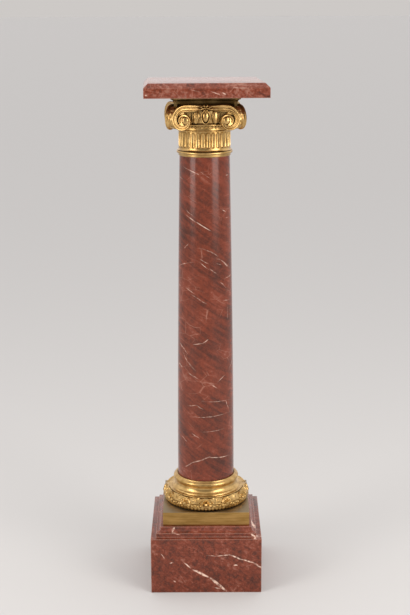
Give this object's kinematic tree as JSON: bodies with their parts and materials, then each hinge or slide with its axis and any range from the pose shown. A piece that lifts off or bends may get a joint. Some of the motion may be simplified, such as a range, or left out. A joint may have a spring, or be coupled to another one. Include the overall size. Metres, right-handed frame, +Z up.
{
  "type": "pedestal column",
  "caption": "Marble pedestal column: square moulded plinth, round tapering shaft and chamfered top slab, with a cast bronze base and a capital of corner volutes.",
  "frame": {"origin": "the middle of the plinth's underside, on the column's axis, where it stands on the floor", "axes": "+Z up along the column's axis, and the front looks along -Y"},
  "size_m": [0.268, 0.268, 1.122],
  "materials": {
    "marble": "polished, red brown with pale veins",
    "gilt_bronze": "gilt, burnished on the high parts and dark in the hollows",
    "brushed_bronze": "dull, with fine level scratches"
  },
  "bodies": {
    "root": {"plinth": "marble", "base_plate": "brushed_bronze", "base": "gilt_bronze", "shaft": "marble", "capital": "gilt_bronze", "top_slab": "marble"}
  },
  "joints": []
}
